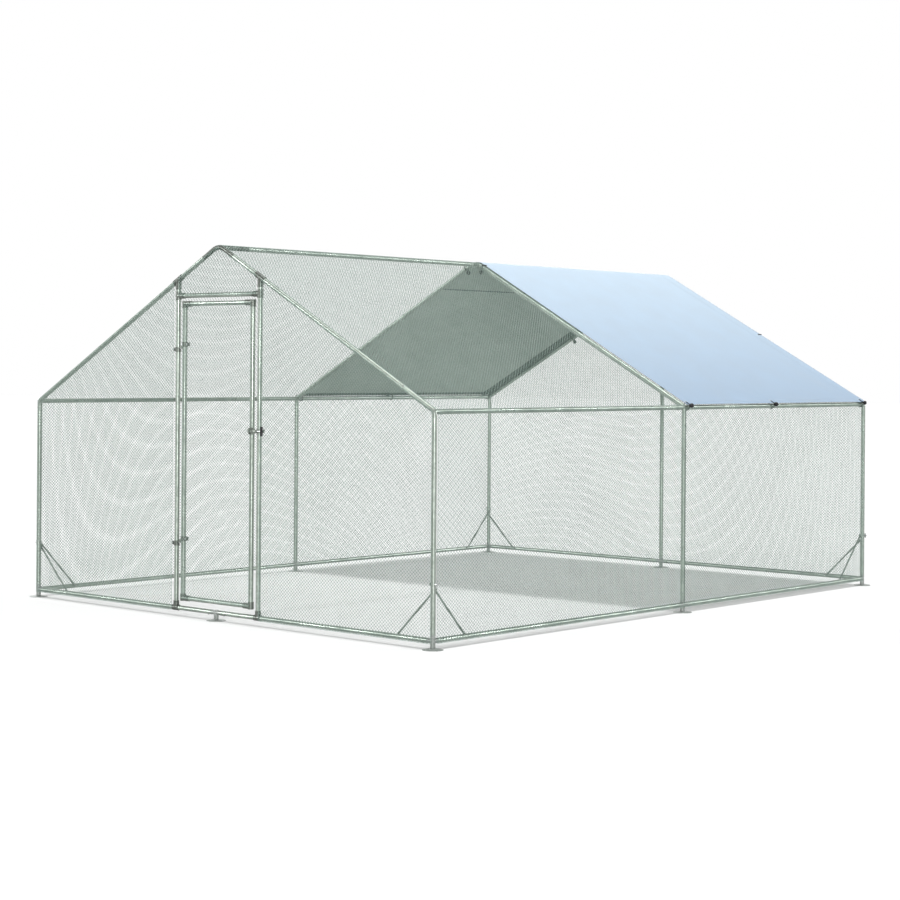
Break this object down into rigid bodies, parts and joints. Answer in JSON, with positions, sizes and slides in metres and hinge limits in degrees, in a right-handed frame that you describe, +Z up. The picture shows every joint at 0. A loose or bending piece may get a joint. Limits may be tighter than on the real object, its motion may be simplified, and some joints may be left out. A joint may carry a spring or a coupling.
{
  "type": "walk-in chicken run",
  "caption": "Walk-in poultry run: gabled frame of galvanised tube with wire net, a hinged door with sliding latch, and a tied cover over the rear bay.",
  "frame": {"origin": "centre of the footprint, on the ground under the foot plates", "axes": "+X across the run, +Y along it from the door end to the covered end, +Z up"},
  "size_m": [3.1, 3.9948, 1.9302],
  "materials": {
    "galvanised_tube": "satin zinc",
    "dark_connector": "dull zinc",
    "grey_clamp": "dull zinc",
    "foot_steel": "satin zinc",
    "zinc_fastener": "bright zinc",
    "wire_net": "galvanised wire",
    "cover_cloth": "coated woven cloth, silvery above",
    "black_plastic": "moulded",
    "elastic_cord": "braided"
  },
  "bodies": {
    "frame": {"front_posts": "galvanised_tube", "middle_posts": "galvanised_tube", "rear_posts": "galvanised_tube", "rear_centre_post": "galvanised_tube", "front_rafters": "galvanised_tube", "middle_rafters": "galvanised_tube", "rear_rafters": "galvanised_tube", "front_ridge_tube": "galvanised_tube", "rear_ridge_tube": "galvanised_tube", "left_eave_rails": "galvanised_tube", "right_eave_rails": "galvanised_tube", "front_base_rails": "galvanised_tube", "rear_base_rails": "galvanised_tube", "left_base_rails": "galvanised_tube", "right_base_rails": "galvanised_tube", "door_posts": "galvanised_tube", "door_header": "galvanised_tube", "front_apex_connector": "dark_connector", "middle_apex_connector": "dark_connector", "rear_apex_connector": "dark_connector", "front_eave_elbows": "galvanised_tube", "middle_eave_elbows": "galvanised_tube", "rear_eave_elbows": "galvanised_tube", "corner_feet": "foot_steel", "middle_feet": "foot_steel", "centre_feet": "foot_steel", "frame_screws": "zinc_fastener", "sill_brackets": "grey_clamp", "header_brackets": "grey_clamp", "door_rafter_clamps": "dark_connector", "hinge_post_clamps": "grey_clamp", "hinge_pins": "zinc_fastener", "latch_carrier": "grey_clamp", "post_clamp_bolts": "zinc_fastener", "corner_braces": "galvanised_tube", "brace_screws": "zinc_fastener", "brace_bolts": "zinc_fastener", "brace_wing_nuts": "zinc_fastener", "front_left_net": "wire_net", "front_right_net": "wire_net", "front_gable_net": "wire_net", "left_wall_net": "wire_net", "right_wall_net": "wire_net", "rear_wall_net": "wire_net", "front_roof_nets": "wire_net", "rear_roof_nets": "wire_net", "roof_cover": "cover_cloth", "tie_balls": "black_plastic", "tie_cords": "elastic_cord"},
    "door": {"door_hinge_stile": "galvanised_tube", "door_latch_stile": "galvanised_tube", "door_top_rail": "galvanised_tube", "door_bottom_rail": "galvanised_tube", "door_corner_brackets": "grey_clamp", "hinge_door_clamps": "grey_clamp", "latch_keeper": "grey_clamp", "door_clamp_bolts": "zinc_fastener", "door_net": "wire_net"},
    "latch": {"latch_bolt": "zinc_fastener", "latch_grip": "black_plastic"}
  },
  "joints": [
    {"name": "door_swing", "type": "hinge", "parent": "frame", "child": "door", "pos_m": [-0.28675, -1.9475, 0.9], "axis": [0, 0, -1], "range_deg": [0, 110]},
    {"name": "latch_slide", "type": "slide", "parent": "frame", "child": "latch", "axis": [-1, 0, 0], "range_m": [0, 0.028]}
  ]
}
